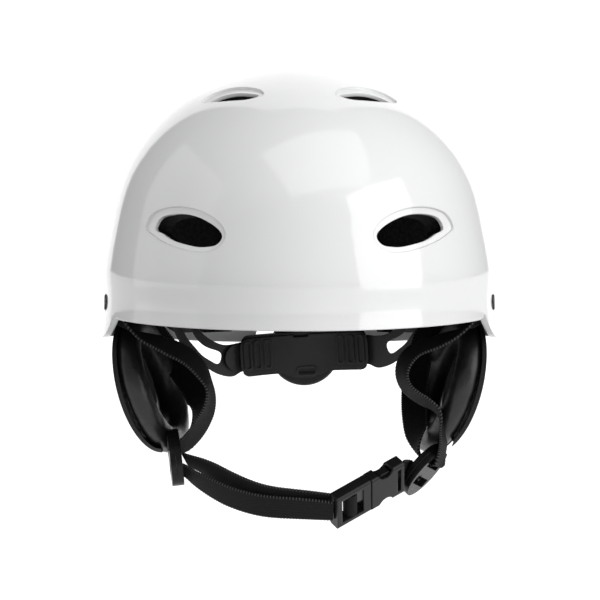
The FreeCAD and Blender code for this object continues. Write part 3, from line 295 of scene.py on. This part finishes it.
def ribbon(name, stations, material):
    """Webbing through stations of (point, direction of its width), in millimetres, with the
    small beads that its selvedges show."""
    points = [p for p, _ in stations]
    run = spline(points, 2)[3][-1]
    count = int(run / WEBBING_STEP) + 2
    places, tangents, t, chord = spline(points, count)
    across = width_directions(t, chord, stations, tangents)
    normal = np.cross(tangents, across)
    half_w, half_t = WEBBING_WIDTH / 2, WEBBING_THICKNESS / 2
    profile = webbing_profile()
    vertices, uvs = [], []
    bead = BEAD_HEIGHT * np.sin(FULL_TURN * t / BEAD_PITCH)
    for i in range(count):
        for v, z in profile:
            reach = v * (half_w - BEAD_HEIGHT + bead[i] * (abs(v) > 0.9))
            lift = z * half_t * (1 + 0.22 * (abs(v) > 0.85))
            vertices.append((places[i] + across[i] * reach + normal[i] * lift) * MM)
            uvs.append((t[i] * MM, reach * MM))
    m = len(profile)
    faces = [tuple(range(m - 1, -1, -1)), tuple(range((count - 1) * m, count * m))]
    for i in range(count - 1):
        for j in range(m):
            k = (j + 1) % m
            faces.append((i * m + j, i * m + k, (i + 1) * m + k, (i + 1) * m + j))
    return new_object(name, vertices, faces, material, uvs)


def copied(node, name, material):
    """A free copy of a CAD node's mesh."""
    source = NODES[node]
    mesh = source.data.copy()
    mesh.materials.clear()
    mesh.materials.append(material)
    obj = bpy.data.objects.new(name, mesh)
    bpy.context.scene.collection.objects.link(obj)
    return obj


def apply_modifiers(obj):
    """Bake the object's modifiers into its mesh."""
    graph = bpy.context.evaluated_depsgraph_get()
    mesh = bpy.data.meshes.new_from_object(obj.evaluated_get(graph))
    obj.modifiers.clear()
    obj.data = mesh


def voxel_remesh(obj, size):
    """Replace the object's mesh with an even one of this voxel size."""
    bpy.ops.object.select_all(action="DESELECT")
    bpy.context.view_layer.objects.active = obj
    obj.select_set(True)
    obj.data.remesh_voxel_size = size
    bpy.ops.object.voxel_remesh()


CLOTH_FRAMES = 20


def cloth_swelling(obj, rest, pressure):
    """How far each vertex moves when the mesh swells as cloth under pressure."""
    settings = obj.modifiers.new("Cloth", "CLOTH").settings
    settings.quality = 6
    settings.mass = 0.2
    settings.tension_stiffness = settings.compression_stiffness = 18
    settings.bending_stiffness = 0.6
    settings.use_pressure = True
    settings.uniform_pressure_force = pressure
    settings.effector_weights.gravity = 0
    for step in range(1, CLOTH_FRAMES + 1):
        bpy.context.scene.frame_set(step)
    graph = bpy.context.evaluated_depsgraph_get()
    swollen = obj.evaluated_get(graph).to_mesh()
    moved = np.array([v.co for v in swollen.vertices], float) - rest
    obj.evaluated_get(graph).to_mesh_clear()
    obj.modifiers.clear()
    bpy.context.scene.frame_set(1)
    return moved


def puffed(obj, cap, pressure, voxel):
    """Swell a closed mesh as sewn cloth under pressure, moving no point more than cap."""
    voxel_remesh(obj, voxel)
    rest = np.array([v.co for v in obj.data.vertices], float)
    moved = cloth_swelling(obj, rest, pressure)
    reach = np.linalg.norm(moved, axis=1)[:, None]
    rest = rest + moved * np.minimum(1, cap / np.maximum(reach, 1e-9))
    obj.data.vertices.foreach_set("co", rest.astype(np.float32).ravel())
    smooth = obj.modifiers.new("Subdivision", "SUBSURF")
    smooth.levels = smooth.render_levels = 1
    apply_modifiers(obj)
    obj.data.shade_smooth()
    return obj


# ------------------------------------------------------------------ materials
MAT = {
    "shell": shell_paint(),
    "rivet": moulded("rivet_satin_black", (0.02, 0.02, 0.021), (0.03, 0.03, 0.031), 0.35,
                    Metallic=0.6),
    "foam": bead_foam(),
    "pad": knit("pad_cloth_black", 0.012),
    "ear_foam": knit("ear_foam_black", 0.012),
    "cradle": moulded("cradle_nylon_grey", (0.02, 0.0205, 0.022), (0.026, 0.0265, 0.028), 0.42,
                     1400.0, Specular_IOR_Level=0.3),
    "dial": moulded("dial_nylon_grey", (0.015, 0.0155, 0.017), (0.02, 0.0205, 0.022), 0.45,
                   1400.0, Specular_IOR_Level=0.25),
    "steel": moulded("screw_steel", (0.25, 0.25, 0.26), (0.33, 0.33, 0.34), 0.32, Metallic=1.0),
    "ear_cover": moulded("ear_cover_black", (0.006, 0.006, 0.0065), (0.009, 0.009, 0.0095), 0.5,
                        700.0, 0.00008, Specular_IOR_Level=0.25),
    "leather": leatherette(),
    "webbing": webbing_cloth(),
    "slider": moulded("slider_black", (0.006, 0.006, 0.0065), (0.009, 0.009, 0.0095), 0.3,
                     edges=0.0008, Specular_IOR_Level=0.22),
    "buckle": moulded("buckle_gloss_black", (0.01, 0.01, 0.011), (0.014, 0.014, 0.015), 0.2,
                     edges=0.0009, Specular_IOR_Level=0.22),
}


def paint(material, *names):
    """Give CAD nodes one of the materials."""
    for name in names:
        mesh = NODES[name].data
        mesh.materials.clear()
        mesh.materials.append(MAT[material])


def pair(stem):
    """The names of the left and right piece of a pair."""
    return [stem + "_" + side for side in SIDES]


paint("shell", "outer_shell")
paint("rivet", "rivets_front", "rivets_rear")
paint("foam", "liner_crown", "liner_front", "liner_rear", "liner_left", "liner_right")
paint("cradle", *pair("cradle_arm"), *pair("pivot_pin"), *pair("band_rack"))
paint("cradle", "housing_inner", "housing_cover")
paint("dial", "dial_knob", "dial_pinion")
paint("steel", "dial_screw", *pair("ear_hinge_pin"))
paint("ear_cover", *pair("ear_cover"), *pair("ear_bracket"))
paint("slider", *pair("slider_inner"), *pair("slider_outer"))
paint("buckle", "buckle_plug", "buckle_prong_upper", "buckle_prong_lower", "buckle_socket")

# ------------------------------------------------------------------ webbing
# Each station is a point of the webbing's middle line, in millimetres, and its width's direction.
FRONT_STRAP_RIGHT = [
    ((-102.0, -15.5, 9.0), (0.12, -0.62, 0.78)), ((-100.4, -24.5, 5.5), (0.16, -0.75, 0.65)),
    ((-97.6, -34.0, 0.8), (0.24, -0.93, 0.25)), ((-91.2, -41.5, -5.3), (0.22, -0.97, -0.05)),
    ((-83.9, -44.0, -10.0), (0.05, -0.97, -0.25)), ((-75.3, -45.5, -13.2), (-0.10, -0.90, -0.42)),
    ((-67.8, -46.5, -16.5), (-0.20, -0.83, -0.50)), ((-59.5, -47.0, -20.8), (-0.35, -0.82, -0.45)),
    ((-52.8, -46.5, -28.0), (-0.42, -0.88, -0.20)), ((-48.6, -45.0, -36.5), (-0.15, -0.99, 0.0)),
    ((-48.5, -42.0, -46.0), (-0.30, -0.93, 0.10)), ((-51.6, -37.0, -55.2), (-0.40, -0.87, 0.25)),
    ((-56.6, -30.5, -64.0), (-0.30, -0.87, 0.40)), ((-61.8, -25.0, -70.4), (-0.10, -0.87, 0.48)),
    ((-66.1, -22.4, -73.4), (0.04, -0.87, 0.51)), ((-69.9, -22.6, -73.8), (0.04, -0.87, 0.51)),
]
REAR_STRAP_RIGHT = [
    ((-93.7, 55.3, 2.6), (0.25, -0.45, 0.85)), ((-90.3, 53.2, -4.0), (0.35, -0.50, 0.75)),
    ((-85.0, 49.5, -13.0), (0.60, -0.45, 0.65)), ((-76.5, 41.0, -24.0), (0.75, -0.30, 0.55)),
    ((-66.5, 27.0, -36.0), (0.80, -0.10, 0.55)), ((-58.5, 10.0, -45.0), (0.75, 0.35, 0.50)),
    ((-55.0, -4.5, -53.0), (0.60, 0.75, 0.30)), ((-56.8, -13.0, -61.0), (0.35, 0.92, -0.10)),
    ((-61.0, -18.8, -68.0), (0.10, 0.92, -0.35)), ((-66.4, -21.3, -71.7), (-0.04, 0.87, -0.51)),
    ((-70.1, -21.7, -72.1), (-0.04, 0.87, -0.51)),
]
FRONT_STRAP_LEFT = [
    ((102.0, -15.5, 9.0), (-0.12, -0.62, 0.78)), ((100.4, -24.5, 5.5), (-0.16, -0.75, 0.65)),
    ((97.2, -34.0, 0.8), (-0.24, -0.93, 0.25)), ((89.0, -42.3, -5.6), (-0.20, -0.97, -0.10)),
    ((80.0, -44.5, -10.3), (0.0, -0.95, -0.30)), ((70.5, -45.5, -14.0), (0.15, -0.93, -0.35)),
    ((62.0, -46.5, -17.4), (0.30, -0.90, -0.30)), ((56.6, -47.0, -23.2), (0.40, -0.88, -0.25)),
    ((55.0, -46.5, -31.0), (0.40, -0.90, 0.0)), ((57.8, -45.0, -37.6), (0.30, -0.90, 0.25)),
    ((65.0, -42.0, -43.8), (0.10, -0.90, 0.40)), ((72.4, -38.5, -49.8), (0.0, -0.90, 0.40)),
    ((77.2, -34.5, -57.6), (-0.35, -0.93, 0.10)), ((78.6, -30.5, -66.2), (-0.30, -0.93, 0.0)),
    ((77.8, -27.5, -74.5), (-0.30, -0.93, 0.10)), ((74.8, -24.9, -82.3), (-0.32, -0.91, 0.27)),
    ((71.8, -23.1, -80.6), (-0.32, -0.91, 0.27)),
]
REAR_STRAP_LEFT = [
    ((93.7, 55.3, 2.6), (-0.25, -0.45, 0.85)), ((89.4, 51.8, -3.0), (-0.35, -0.50, 0.75)),
    ((82.5, 46.5, -8.5), (-0.45, 0.10, 0.85)), ((75.0, 41.0, -13.5), (-0.65, 0.40, 0.60)),
    ((70.0, 34.0, -23.5), (-0.85, 0.30, 0.20)), ((66.5, 23.5, -35.0), (-0.90, 0.25, 0.10)),
    ((64.5, 11.0, -46.0), (-0.92, 0.20, 0.05)), ((64.0, -1.5, -56.0), (-0.90, 0.35, 0.0)),
    ((64.4, -11.0, -65.0), (-0.70, 0.65, 0.0)), ((65.2, -17.2, -72.6), (-0.20, 0.95, -0.20)),
    ((67.0, -20.7, -78.3), (0.25, 0.90, -0.24)), ((70.8, -23.0, -81.5), (0.32, 0.91, -0.27)),
]
CHIN_STRAP_OUTER = [
    ((-68.4, -28.2, -83.4), (0.04, -0.87, 0.51)), ((-64.0, -28.4, -84.2), (0.04, -0.85, 0.53)),
    ((-58.8, -30.8, -87.3), (0.0, -0.76, 0.65)), ((-51.4, -36.0, -91.2), (0.10, -0.70, 0.70)),
    ((-40.5, -43.8, -95.6), (0.15, -0.62, 0.77)), ((-31.0, -49.0, -98.3), (0.10, -0.56, 0.82)),
    ((-18.5, -54.0, -100.3), (0.05, -0.50, 0.86)), ((-5.0, -56.4, -101.0), (0.0, -0.50, 0.86)),
    ((7.0, -57.4, -101.6), (-0.05, -0.55, 0.83)), ((18.2, -57.9, -102.4), (-0.10, -0.62, 0.77)),
]
CHIN_STRAP_TAIL = [
    ((-62.4, -24.0, -79.4), (0.04, -0.87, 0.51)), ((-55.0, -28.5, -81.6), (0.12, -0.85, 0.52)),
    ((-44.0, -37.5, -85.8), (0.20, -0.70, 0.70)), ((-31.0, -46.5, -91.0), (0.10, -0.58, 0.80)),
    ((-18.0, -52.3, -94.9), (0.05, -0.50, 0.86)), ((-5.0, -55.4, -96.4), (0.0, -0.50, 0.86)),
    ((6.5, -55.8, -97.4), (-0.05, -0.55, 0.83)), ((18.6, -55.7, -98.6), (-0.10, -0.62, 0.77)),
]
SHORT_STRAP = [
    ((63.8, -23.0, -89.7), (0.32, 0.91, -0.27)), ((60.6, -24.2, -87.4), (0.20, 0.85, -0.45)),
    ((57.6, -29.4, -85.6), (0.05, 0.72, -0.68)), ((55.2, -35.6, -85.2), (0.10, 0.65, -0.75)),
]

for node, route in (("strap_front_right", FRONT_STRAP_RIGHT), ("strap_rear_right", REAR_STRAP_RIGHT),
                    ("strap_front_left", FRONT_STRAP_LEFT), ("strap_rear_left", REAR_STRAP_LEFT),
                    ("strap_buckle_short", SHORT_STRAP)):
    strap = ribbon("web_" + node, route, MAT["webbing"])
    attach(strap, "shell")
    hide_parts(node)

for node, route in (("chin_strap", CHIN_STRAP_OUTER), ("chin_strap_tail", CHIN_STRAP_TAIL)):
    strap = ribbon("web_" + node, route, MAT["webbing"])
    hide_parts(node)
    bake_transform(strap)

loop = copied("webbing_loop", "web_loop", MAT["webbing"])
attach(loop, "plug")
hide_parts("webbing_loop")


# ------------------------------------------------------------------ ear cushions and pads
RING_MIDDLE = Vector((82.3, 1.0, -40.5))
RING_FORWARD = Vector((5.5, -37.0, 1.0))
RING_UP = Vector((10.0, -2.5, 31.0))
ROLL_FRONT, ROLL_REAR = 7.4, 9.4
ROLL_BEFORE_PUFFING = 0.95
EAR_FOAM_SHIFT = Vector((0.0066, 0.0009, -0.0021))


def ear_roll(side):
    """The padded roll round the ear, fuller behind than in front, ready to be puffed."""
    sign = SIGN[side]
    outward = RING_FORWARD.cross(RING_UP).normalized()
    rings, around = 64, 20
    vertices, faces = [], []
    for i in range(rings):
        angle = FULL_TURN * i / rings
        middle = RING_MIDDLE + RING_FORWARD * math.cos(angle) + RING_UP * math.sin(angle)
        away = (RING_FORWARD * math.cos(angle) + RING_UP * math.sin(angle)).normalized()
        radius = (ROLL_FRONT + ROLL_REAR) / 2 + (ROLL_FRONT - ROLL_REAR) / 2 * math.cos(angle)
        radius *= ROLL_BEFORE_PUFFING
        for j in range(around):
            turn = FULL_TURN * j / around
            point = middle + away * radius * math.cos(turn) + outward * radius * math.sin(turn)
            vertices.append((sign * point.x * MM, point.y * MM, point.z * MM))
    for i in range(rings):
        for j in range(around):
            a, b = i * around, (i + 1) % rings * around
            k = (j + 1) % around
            face = (a + j, b + j, b + k, a + k)
            faces.append(face if sign > 0 else face[::-1])
    return new_object("roll_ear_cushion_" + side, vertices, faces, MAT["leather"])


for side in SIDES:
    roll = puffed(ear_roll(side), 0.0016, 5.0, 0.0035)
    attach(roll, "ear_pad_" + side)
    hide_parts("ear_cushion_" + side)
    disc = copied("ear_foam_" + side, "pad_ear_foam_" + side, MAT["ear_foam"])
    disc = puffed(disc, 0.001, 3.0, 0.003)
    shift = Vector((SIGN[side] * EAR_FOAM_SHIFT.x, EAR_FOAM_SHIFT.y, EAR_FOAM_SHIFT.z))
    disc.data.transform(Matrix.Translation(shift))
    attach(disc, "ear_pad_" + side)
    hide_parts("ear_foam_" + side)

for node in ("brow_pad", "nape_pad", "crown_pad", *pair("side_pad")):
    pad = puffed(copied(node, "soft_" + node, MAT["pad"]), 0.0022, 4.0, 0.004)
    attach(pad, "shell")
    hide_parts(node)

# ------------------------------------------------------------------ cradle arms
for side in SIDES:
    arm = copied("cradle_arm_" + side, "flex_cradle_arm_" + side, MAT["cradle"])
    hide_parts("cradle_arm_" + side)
    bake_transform(arm)


# ------------------------------------------------------------------ stage, light and camera
def emitter(name, color, strength):
    """A matt material that also glows white."""
    material = bpy.data.materials.new(name)
    material.use_nodes = True
    shader = material.node_tree.nodes["Principled BSDF"]
    shader.inputs["Base Color"].default_value = (*color, 1)
    shader.inputs["Roughness"].default_value = 0.9
    shader.inputs["Emission Color"].default_value = (1, 1, 1, 1)
    shader.inputs["Emission Strength"].default_value = strength
    return material


def sheet_plane(name, corners, material):
    """A four-cornered stage sheet that throws no diffuse light on the object."""
    obj = new_object(name, corners, [(0, 1, 2, 3)], material, smooth=False)
    obj.visible_diffuse = False
    return obj


sheet_plane("floor", [(-6, -3, -0.2), (6, -3, -0.2), (6, 9, -0.2), (-6, 9, -0.2)],
            emitter("floor_white", (0.6, 0.6, 0.6), 0.8))
sheet_plane("backdrop", [(-1.0, 1.6, -0.2), (1.0, 1.6, -0.2), (1.0, 1.6, 4.4), (-1.0, 1.6, 4.4)],
            emitter("backdrop_white", (0.6, 0.6, 0.6), 1.0))


def area_light(name, place, target, size, power):
    """A rectangular softbox aimed at a point."""
    light = bpy.data.lights.new(name, "AREA")
    light.shape = "RECTANGLE"
    light.size, light.size_y = size
    light.energy = power
    obj = bpy.data.objects.new(name, light)
    bpy.context.scene.collection.objects.link(obj)
    obj.location = place
    obj.rotation_mode = "QUATERNION"
    obj.rotation_quaternion = (Vector(target) - Vector(place)).to_track_quat("-Z", "Y")
    return obj


area_light("key_right", (1.7, -0.9, 0.5), (0, 0, 0.03), (1.6, 1.8), 24)
area_light("top_front", (0.35, -0.7, 1.6), (0, 0, 0.05), (1.8, 1.4), 9)
area_light("fill_left", (-1.7, 0.1, 0.5), (0, 0, 0), (1.8, 1.8), 5)

low_fill = area_light("front_low", (0.15, -1.8, -0.15), (0, 0, 0), (1.6, 1.0), 8.5)
low_fill.visible_glossy = False

world = bpy.data.worlds.new("studio")
world.use_nodes = True
world.node_tree.nodes["Background"].inputs["Color"].default_value = (1, 1, 1, 1)
world.node_tree.nodes["Background"].inputs["Strength"].default_value = 0.34
bpy.context.scene.world = world
bpy.context.scene.view_settings.view_transform = "Standard"

CAMERA_PLACE = Vector((0.0003, -1.2968, 0.0972))
CAMERA_TARGET = Vector((0.0003, 0, 0.0065))

camera = bpy.data.objects.new("camera", bpy.data.cameras.new("camera"))
bpy.context.scene.collection.objects.link(camera)
camera.data.lens = 140.5
camera.data.sensor_width = 36
camera.location = CAMERA_PLACE
camera.rotation_mode = "QUATERNION"
camera.rotation_quaternion = (CAMERA_TARGET - CAMERA_PLACE).to_track_quat("-Z", "Y")
bpy.context.scene.camera = camera
